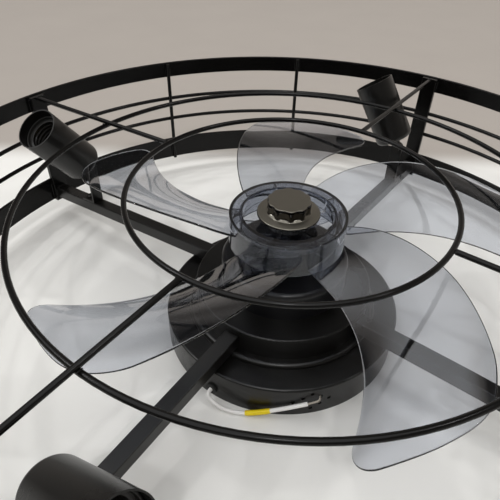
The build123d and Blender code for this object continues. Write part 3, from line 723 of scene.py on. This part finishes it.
def spunTree(material):
    # copies of what comes in, at equal turns round the shaft
    tree, given, inputs = startTree("spunPieces", {"Count": "NodeSocketInt", "Phase": "NodeSocketFloat"})
    places = addNode(tree, "GeometryNodeMeshLine", {"Offset": (0, 0, 0)}, {"Count": given.outputs["Count"]})
    index = tree.nodes.new("GeometryNodeInputIndex")
    step = addNode(tree, "ShaderNodeMath", {0: 2 * math.pi}, {1: given.outputs["Count"]}, operation="DIVIDE")
    angle = addNode(tree, "ShaderNodeMath", links={0: index.outputs[0], 1: step.outputs[0], 2: given.outputs["Phase"]},
                    operation="MULTIPLY_ADD")
    turn = addNode(tree, "ShaderNodeCombineXYZ", links={"Z": angle.outputs[0]})
    laid = addNode(tree, "GeometryNodeInstanceOnPoints", links={
        "Points": places.outputs["Mesh"], "Instance": given.outputs["Geometry"], "Rotation": turn.outputs["Vector"]})
    real = addNode(tree, "GeometryNodeRealizeInstances", links={"Geometry": laid.outputs["Instances"]})
    dressed = addNode(tree, "GeometryNodeSetMaterial", {"Material": material}, {"Geometry": real.outputs["Geometry"]})
    addNode(tree, "NodeGroupOutput", links={"Geometry": dressed.outputs["Geometry"]})
    return tree, inputs


def cutAway(mesh, low, high):
    # takes a box in mm out of a mesh
    bm = bmesh.new()
    bmesh.ops.create_cube(bm, size=1.0)
    for vert in bm.verts:
        vert.co = Vector([(low[i] if vert.co[i] < 0 else high[i]) * mm for i in range(3)])
    blank = newObject("blank", mesh)
    tool = newObject("tool", meshFrom("cutter", bm))
    modifier = blank.modifiers.new("cut", "BOOLEAN")
    modifier.operation = "DIFFERENCE"
    modifier.solver = "EXACT"
    modifier.object = tool
    result = bpy.data.meshes.new_from_object(blank.evaluated_get(bpy.context.evaluated_depsgraph_get()))
    blank.modifiers.clear()
    for obj in (blank, tool):
        bpy.data.objects.remove(obj)
    return result


spokes = bmesh.new()
bladeMesh(spokes)
ribMesh(spokes, impeller["ribPhase"] - impeller["phase"])
bmesh.ops.recalc_face_normals(spokes, faces=spokes.faces)
spokeMesh = meshFrom("bladeAndRib", spokes)
tree, inputs = spunTree(finishes["smoked_plastic"])
spun = plainResult("spun", spokeMesh, tree, {inputs["Count"]: impeller["blades"],
                                            inputs["Phase"]: math.radians(impeller["phase"])})
hubMesh = revolved("hub", eased(hubOutline(), impeller["hubEasing"]), impeller["hubSteps"])
hubMesh = cutAway(hubMesh, *impeller["pinSlot"])
whole = bmesh.new()
whole.from_mesh(spun)
whole.from_mesh(hubMesh)
impellerMesh = meshFrom("impeller", whole)
smoked = meshObject("smokedImpeller", sharpened(impellerMesh, 42), "rotor", "smoked_plastic")
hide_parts("impeller")
print("impeller:", len(impellerMesh.polygons), "faces")

# spinner nut: a scalloped plate over a scooped grip, on a wide flange

spinner = {
    "foot": 107.3,
    "spigot": 8.7,
    "base": 116.0,
    "flange": 24.0,
    "flangeEdge": 1.8,
    "grip": 16.6,
    "gripLevel": 118.6,
    "lip": 125.4,      # level of the top plate's underside
    "top": 128.0,
    "boreTop": 123.3,
    "bore": 4.1,
    "scoops": 10,
    "plateDepth": 1.0,
    "scoopDepth": 2.2,
    "rise": 1.6,       # mm above the grip's foot where the scoops are full
    "blend": 0.7,      # mm below the plate where they change to its softer wave
    "fade": (12.0, 4.6),           # radius where they begin on the top, and mm to their full depth
    "ridge": (0.03, 0.17, 0.85),   # rounds the ridges between the scoops: added, taken off, and the full swing
    "rows": (119.8, 120.2, 120.6, 121.2, 122.0, 123.0, 124.0, 124.6, 124.8, 125.0, 125.2, 125.35, 125.5, 125.8),
    "easing": 0.7,
    "steps": 240,
}


def scooped(angle, radius, level):
    # how much the scoops take off the nut's radius at one point of its skin
    s = spinner
    begin, width = s["fade"]
    added, off, full = s["ridge"]
    if level < s["gripLevel"] + 0.05 or radius < begin:
        return 0.0
    low = min(1.0, (level - s["gripLevel"]) / s["rise"])
    under = min(1.0, max(0.0, (s["lip"] - level) / s["blend"]))
    fade = low * low * (3 - 2 * low) * min(1.0, (radius - begin) / width)
    swing = math.cos(math.radians(angle * s["scoops"] / 2)) ** 2
    soft = s["plateDepth"] * swing ** 2
    sharp = s["scoopDepth"] * max(0.0, math.sqrt(swing + added) - off) / full
    return -fade * (soft + (sharp - soft) * under)


s = spinner
nutOutline = [(0, s["boreTop"]), (s["bore"], s["boreTop"]), (s["bore"], s["foot"]), (s["spigot"], s["foot"]),
              (s["spigot"], s["base"]), (s["flange"], s["base"]), (s["flange"], s["base"] + s["flangeEdge"]),
              (s["grip"], s["gripLevel"]), (s["grip"], s["top"]), (0, s["top"])]
nutOutline = eased(nutOutline, s["easing"], closed=False)
grip = [place for place, (radius, level) in enumerate(nutOutline)
        if abs(radius - s["grip"]) < 0.01 and s["gripLevel"] + 0.5 < level < s["top"] - 0.5]
nutOutline[grip[0] + 1:grip[0] + 1] = [(s["grip"], level) for level in s["rows"]]
nut = meshObject("spinnerNut", sharpened(revolved("spinnerNut", nutOutline, s["steps"], scooped), 50), "rotor",
                 "gunmetal")
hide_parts("spinner_nut")
print("spinner nut cut")

# lamp sockets: black phenolic bodies with a moulded lamp thread

socket = {
    "angles": (55.0, 57.0, 52.0, 28.0),
    "pivot": (233.0, 0.0, 75.7),
    "outer": 17.8,
    "foot": 15.0,
    "top": 66.0,
    "collar": 16.2,
    "collarFloor": 63.0,
    "bore": 13.3,
    "boreFloor": 45.0,
    "well": 8.0,
    "wellFloor": 42.0,
    "pitch": 3.63,
    "groove": 0.95,
    "grooveShape": 0.7,      # under 1, the groove is wider than the crest
    "grooveStart": 0.6,
    "grooveEnd": 0.8,
    "grooveFade": 1.2,
    "threadRows": 56,
    "steps": 96,
}


def lampPlace(number):
    # a lamp head's own frame: pivot at its origin, cup along +Z, the arm along +X
    turn = Matrix.Rotation(math.radians(90.0 * (number - 1)), 4, "Z")
    tilt = Matrix.Rotation(math.radians(socket["angles"][number - 1] - 90.0), 4, "X")
    return turn @ Matrix.Translation(Vector(socket["pivot"]) * mm) @ tilt


def threadWave(angle, radius, level):
    # rounded groove that climbs one pitch a turn and fades out at both ends of the bore
    if abs(radius - socket["bore"]) > 0.01:
        return 0.0
    low = level - socket["boreFloor"] - socket["grooveStart"]
    high = socket["collarFloor"] - level - socket["grooveEnd"]
    fade = max(0.0, min(1.0, low / socket["grooveFade"], high / socket["grooveFade"]))
    turn = 2 * math.pi * (level / socket["pitch"] - angle / 360.0)
    return socket["groove"] * fade * (0.5 - 0.5 * math.cos(turn)) ** socket["grooveShape"]


def socketOutline():
    # from the foot's middle over the collar and down the bore; the small steps round the moulding's edges
    s = socket
    outline = [(0, s["foot"]), (s["outer"] - 0.8, s["foot"]), (s["outer"], s["foot"] + 0.8),
               (s["outer"], s["top"] - 0.5), (s["outer"] - 0.15, s["top"] - 0.15), (s["outer"] - 0.5, s["top"]),
               (s["collar"] + 0.4, s["top"]), (s["collar"] + 0.1, s["top"] - 0.12), (s["collar"], s["top"] - 0.4),
               (s["collar"], s["collarFloor"] + 0.4), (s["collar"] - 0.3, s["collarFloor"]),
               (s["bore"] + 0.7, s["collarFloor"]), (s["bore"] + 0.2, s["collarFloor"] - 0.2)]
    count = s["threadRows"]
    for step in range(count + 1):
        outline.append((s["bore"], s["collarFloor"] - 0.6 - (s["collarFloor"] - s["boreFloor"] - 0.6) * step / count))
    outline += [(s["well"] + 0.3, s["boreFloor"]), (s["well"], s["boreFloor"] - 0.3), (s["well"], s["wellFloor"]),
                (0, s["wellFloor"])]
    return outline


socketMesh = sharpened(revolved("socketBody", socketOutline(), socket["steps"], threadWave), 40)
for number in range(1, 5):
    mesh = socketMesh.copy()
    mesh.transform(lampPlace(number))
    body = meshObject("socketBody%d" % number, mesh, "lamp_head_%d" % number, "socket_plastic")
    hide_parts("socket_body_%d" % number)
bpy.data.meshes.remove(socketMesh)
print("sockets threaded")

# weld beads, placed by Geometry Nodes wherever rod, strip and flat bar meet

weld = {
    "rodAngles": (30, 60),
    "rodTurn": 0.5,     # degrees from a rod's middle to the beads on its sides
    "hoopLevels": (93.0, 68.0),
    # radius, level, then a bead's half length and half width
    "rodAtRims": ((296.1, 126.5, 5.5, 0.9), (296.1, 29.5, 9.0, 0.9)),
    # radius, mm over and under the hoop, half length, half width
    "rodAtHoops": (296.8, 1.3, 1.9, 0.8),
    # distance out, distance aside, level or mm over the hoop, half length, half width
    "flatAtRims": ((296.2, 8.3, 126.5, 6.0, 1.0), (296.2, 8.3, 29.5, 10.0, 1.0), (291.6, 6.0, 26.3, 5.4, 0.9)),
    "flatAtHoops": (296.9, 3.4, 1.4, 3.2, 0.8),
    "overArm": (291.4, 0, 32.6, 5.6, 0.9),
    "overSpoke": (291.2, 0, 133.6, 2.4, 1.0),
    "spokeAtFlat": (291.0, 1.6, 132.2, 1.8, 0.8),
    "spokeAtRings": ((196.0, 1.7, 132.5, 2.0, 0.75), (121.0, 1.6, 137.2, 1.7, 0.75)),
    "lump": 0.35,       # mm of unevenness
    "lumpScale": 900.0,
    "seed": 7,
}


def beadPlaces():
    # place in mm, long axis, half length and half width of every bead
    w = weld
    upwards = Vector((0, 0, 1))
    beads = []
    for bay in range(4):
        for place in w["rodAngles"]:
            angle = bay * 90 + place
            for side in (-1, 1):
                for radius, level, half, width in w["rodAtRims"]:
                    beads.append((polar(radius, angle + side * w["rodTurn"], level), upwards, half, width))
            around = polar(1, angle + 90)
            radius, rise, half, width = w["rodAtHoops"]
            for level in w["hoopLevels"]:
                for side in (-1, 1):
                    beads.append((polar(radius, angle, level + side * rise), around, half, width))
        turn = Matrix.Rotation(math.radians(bay * 90), 3, "Z")
        across = turn @ Vector((0, 1, 0))
        outwards = turn @ Vector((1, 0, 0))

        def lay(bead, side, way, base=0.0):
            out, aside, level, half, width = bead
            beads.append((turn @ Vector((out, side * aside, base + level)), way, half, width))

        for side in (-1, 1):
            for bead in w["flatAtRims"]:
                lay(bead, side, upwards)
            for level in w["hoopLevels"]:
                lay(w["flatAtHoops"], side, across, level)
        lay(w["overArm"], 1, across)
        lay(w["overSpoke"], 1, across)
        for side in (-1, 1):
            lay(w["spokeAtFlat"], side, upwards)
            for bead in w["spokeAtRings"]:
                lay(bead, side, outwards)
    return beads


def beadTree(material):
    # every vertex becomes one lumpy bead, turned and stretched by its own attributes
    tree, given, inputs = startTree("weldBeads", {"Lump Height": "NodeSocketFloat", "Seed": "NodeSocketFloat"})
    bead = addNode(tree, "GeometryNodeMeshIcoSphere", {"Radius": 1.0, "Subdivisions": 3})
    turn = addNode(tree, "GeometryNodeInputNamedAttribute", {"Name": "turn"}, data_type="FLOAT_VECTOR")
    stretch = addNode(tree, "GeometryNodeInputNamedAttribute", {"Name": "stretch"}, data_type="FLOAT_VECTOR")
    laid = addNode(tree, "GeometryNodeInstanceOnPoints", links={
        "Points": given.outputs["Geometry"], "Instance": bead.outputs["Mesh"],
        "Rotation": turn.outputs["Attribute"], "Scale": stretch.outputs["Attribute"]})
    real = addNode(tree, "GeometryNodeRealizeInstances", links={"Geometry": laid.outputs["Instances"]})
    noise = addNode(tree, "ShaderNodeTexNoise", {"Scale": weld["lumpScale"], "Detail": 1.0},
                    {"W": given.outputs["Seed"]}, noise_dimensions="4D")
    centred = addNode(tree, "ShaderNodeMath", {1: 0.5}, {0: noise.outputs["Fac"]}, operation="SUBTRACT")
    amount = addNode(tree, "ShaderNodeMath", links={0: centred.outputs[0], 1: given.outputs["Lump Height"]},
                     operation="MULTIPLY")
    normal = tree.nodes.new("GeometryNodeInputNormal")
    push = addNode(tree, "ShaderNodeVectorMath", links={0: normal.outputs["Normal"], "Scale": amount.outputs[0]},
                   operation="SCALE")
    lumpy = addNode(tree, "GeometryNodeSetPosition", links={
        "Geometry": real.outputs["Geometry"], "Offset": push.outputs["Vector"]})
    smooth = addNode(tree, "GeometryNodeSetShadeSmooth", {"Shade Smooth": True},
                     {"Geometry": lumpy.outputs["Geometry"]})
    dressed = addNode(tree, "GeometryNodeSetMaterial", {"Material": material},
                      {"Geometry": smooth.outputs["Geometry"]})
    addNode(tree, "NodeGroupOutput", links={"Geometry": dressed.outputs["Geometry"]})
    return tree, inputs


def grown(name, mesh, tree, values, body, slot):
    # a piece that a tree makes and dresses itself
    obj = newObject(name, plainResult(name, mesh, tree, values))
    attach(obj, body)
    return obj


beads = beadPlaces()
beadMesh = pointMesh("beadPlaces", [bead[0] for bead in beads], [bead[1] for bead in beads])
stretches = beadMesh.attributes.new("stretch", "FLOAT_VECTOR", "POINT")
for stretch, (*_, half, width) in zip(stretches.data, beads):
    stretch.vector = Vector((width, width, half)) * mm
tree, inputs = beadTree(cageCoat)
grown("weldBeads", beadMesh, tree, {inputs["Lump Height"]: weld["lump"] * mm, inputs["Seed"]: float(weld["seed"])},
      "frame", "black_paint")
print("weld beads:", len(beads))

# frame screws: pan heads with a cross recess, laid by Geometry Nodes where the arms, brackets and skirt are screwed

screws = {
    "head": 3.5,
    "headHeight": 2.2,
    "shank": 2.0,
    "length": 7.0,
    "pitch": 0.7,
    "thread": 0.3,           # depth
    "threadRow": 0.14,
    "sides": 28,
    "cross": (0.45, 1.9),    # half width and half length of one bar of it
    "crossLevels": (-2.6, -1.2),
    "slope": 3.6,            # fall of the arms in degrees
    "armLevel": 46.2,        # arm's upper side where it leaves the crown
    "armFrom": 72.0,
    "upwards": (55.0, 64.0),
    "underArm": -14.2,
    "bracket": 242.2,
    "overArm": 2.2,
    "skirt": (98.2, 5.0),
    "skirtAngles": (30.0, 210.0),
}


def screwPlaces():
    # place in mm and the way the shank points
    s = screws
    fall = math.radians(s["slope"])
    square = Vector((math.sin(fall), 0, math.cos(fall)))
    places = []
    for bay in range(4):
        turn = Matrix.Rotation(math.radians(90.0 * bay), 3, "Z")
        for radius, rise, way in [(r, s["underArm"], 1) for r in s["upwards"]] + [(s["bracket"], s["overArm"], -1)]:
            level = s["armLevel"] - (radius - s["armFrom"]) * math.tan(fall)
            places.append((turn @ (Vector((radius, 0, level)) + square * rise), turn @ square * way))
    for angle in s["skirtAngles"]:
        places.append((polar(s["skirt"][0], angle, s["skirt"][1]), -polar(1.0, angle)))
    return places


def screwThread(angle, radius, level):
    # how much the thread takes off the shank's radius
    s = screws
    if abs(radius - s["shank"]) > 0.01 or not 0.5 < level < s["length"] - 0.8:
        return 0.0
    return -s["thread"] * (0.5 - 0.5 * math.cos(2 * math.pi * (level / s["pitch"] - angle / 360.0)))


def placedTree(material):
    # every vertex becomes one copy of the given piece, turned by the vertex's own attribute
    tree, given, inputs = startTree("placedPieces", {"Piece": "NodeSocketObject"})
    info = addNode(tree, "GeometryNodeObjectInfo", links={"Object": given.outputs["Piece"]})
    turn = addNode(tree, "GeometryNodeInputNamedAttribute", {"Name": "turn"}, data_type="FLOAT_VECTOR")
    laid = addNode(tree, "GeometryNodeInstanceOnPoints", links={
        "Points": given.outputs["Geometry"], "Instance": info.outputs["Geometry"],
        "Rotation": turn.outputs["Attribute"]})
    real = addNode(tree, "GeometryNodeRealizeInstances", links={"Geometry": laid.outputs["Instances"]})
    dressed = addNode(tree, "GeometryNodeSetMaterial", {"Material": material}, {"Geometry": real.outputs["Geometry"]})
    addNode(tree, "NodeGroupOutput", links={"Geometry": dressed.outputs["Geometry"]})
    return tree, inputs


s = screws
screwOutline = [(0, -s["headHeight"]), (1.5, -s["headHeight"] + 0.04), (2.4, -s["headHeight"] + 0.22),
                (3.05, -1.5), (3.4, -0.9), (s["head"], -0.3), (s["head"] - 0.1, 0), (s["shank"], 0)]
screwOutline += [(s["shank"], s["threadRow"] * step) for step in range(2, 46)]
screwOutline += [(1.5, s["length"]), (0, s["length"])]
screwMesh = revolved("screw", screwOutline, s["sides"], screwThread)
low, high = s["crossLevels"]
for x, y in (s["cross"], s["cross"][::-1]):
    screwMesh = cutAway(screwMesh, (-x, -y, low), (x, y, high))
screwMesh = sharpened(screwMesh, 40)
oneScrew = newObject("oneScrew", screwMesh)
laid = screwPlaces()
screwSpots = pointMesh("screwSpots", *zip(*laid))
tree, inputs = placedTree(finishes[slotOf["frame_screws"]])
screwObject = grown("frameScrews", screwSpots, tree, {inputs["Piece"]: oneScrew}, "frame", slotOf["frame_screws"])
bpy.data.objects.remove(oneScrew)
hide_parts("frame_screws")
print("screws laid:", len(laid))

# floor and light

studio = {
    "floor": "#e6e5e1",
    "wall": "#a69f98",        # the floor past the part takes the tone of the wall that stands there in the photo
    "wallFrom": 275.0,        # mm from the middle, away from the camera
    "wallBlend": 60.0,
    "cloud": 9.0,             # faint clouds in the paint, per metre
    "cloudTone": (0.96, 1.03),
    "floorSize": 12.0,        # m
    "sky": [(0.0, "#ada69f"), (0.12, "#948e88"), (0.22, "#6a6560"), (0.33, "#817c77"), (0.5, "#3a3836"),
            (0.61, "#2c2a2a"), (0.71, "#a8a29d"), (0.82, "#ffffff")],
    "skyTilt": 0.3,           # how far the bright ceiling leans over to the left of the picture
    "skyLean": 0.22,          # and how far towards the camera
    "skyStrength": 1.6,
}
floorMesh = bpy.data.meshes.new("floor")
half = studio["floorSize"] / 2
floorMesh.from_pydata([(-half, -half, 0), (half, -half, 0), (half, half, 0), (-half, half, 0)], [], [(0, 1, 2, 3)])
floorMaterial, tree, shader, place = startMaterial("paintedFloor", {"Roughness": 0.6, "Specular IOR Level": 0.15})
aim = (math.cos(heading), math.sin(heading), 0.0)
depth = addNode(tree, "ShaderNodeVectorMath", {1: aim}, {0: place}, operation="DOT_PRODUCT")
past = addNode(tree, "ShaderNodeMapRange", {
    "From Min": studio["wallFrom"] * mm, "From Max": (studio["wallFrom"] + studio["wallBlend"]) * mm},
    {"Value": depth.outputs["Value"]}, interpolation_type="SMOOTHSTEP")
cloud = addNode(tree, "ShaderNodeTexNoise", {"Scale": studio["cloud"], "Detail": 3.0}, {"Vector": place})
low, high = studio["cloudTone"]
faint = addNode(tree, "ShaderNodeMapRange", {"To Min": low, "To Max": high}, {"Value": cloud.outputs["Fac"]})
ground = addNode(tree, "ShaderNodeMix", {6: linear(studio["floor"]), 7: linear(studio["wall"])},
                 {0: past.outputs["Result"]}, data_type="RGBA")
toned = addNode(tree, "ShaderNodeVectorMath", links={0: ground.outputs[2], "Scale": faint.outputs["Result"]},
                operation="SCALE")
tree.links.new(toned.outputs["Vector"], shader.inputs["Base Color"])
floorMesh.materials.append(floorMaterial)
floor = newObject("floor", floorMesh)

world = bpy.data.worlds.new("studio")
bpy.context.scene.world = world
world.use_nodes = True
tree = world.node_tree
tree.nodes.clear()
direction = addNode(tree, "ShaderNodeTexCoord").outputs["Generated"]
lean = Vector((0, 0, 1)) - right * studio["skyTilt"] - Vector(aim) * studio["skyLean"]
height = addNode(tree, "ShaderNodeVectorMath", {1: tuple(lean)}, {0: direction}, operation="DOT_PRODUCT")
ramp = addNode(tree, "ShaderNodeValToRGB", links={"Fac": height.outputs["Value"]})
for place, (position, colour) in enumerate(studio["sky"]):
    if place > 1:
        ramp.color_ramp.elements.new(position)
    stop = ramp.color_ramp.elements[place]
    stop.position = position
    stop.color = linear(colour)
glow = addNode(tree, "ShaderNodeBackground", {"Strength": studio["skyStrength"]}, {"Color": ramp.outputs["Color"]})
addNode(tree, "ShaderNodeOutputWorld", links={"Surface": glow.outputs["Background"]})

lampSize = 0.12                 # m across
lampAim = Vector((0, 0, 0.05))
lamps = [
    # name, place in m, watts
    ("frontLamp", (0.75, -1.15, 2.2), 7.0),
    ("sideLamp", (1.3, 0.5, 2.0), 4.8),
    ("backLamp", (-0.75, 0.85, 2.4), 4.8),
    ("leftLamp", (-1.5, -1.0, 2.0), 6.6),
]
for name, spot, watts in lamps:
    data = bpy.data.lights.new(name, "AREA")
    data.shape = "DISK"
    data.size = lampSize
    data.energy = watts
    lamp = newObject(name, data)
    lamp.location = spot
    lamp.rotation_mode = "QUATERNION"
    lamp.rotation_quaternion = (lampAim - Vector(spot)).to_track_quat("-Z", "Y")
    # the mirror image of the back lamp would stand on the near blade
    lamp.visible_glossy = lamp.visible_transmission = name != "backLamp"
bpy.context.scene.view_settings.view_transform = "Standard"
print("studio ready")
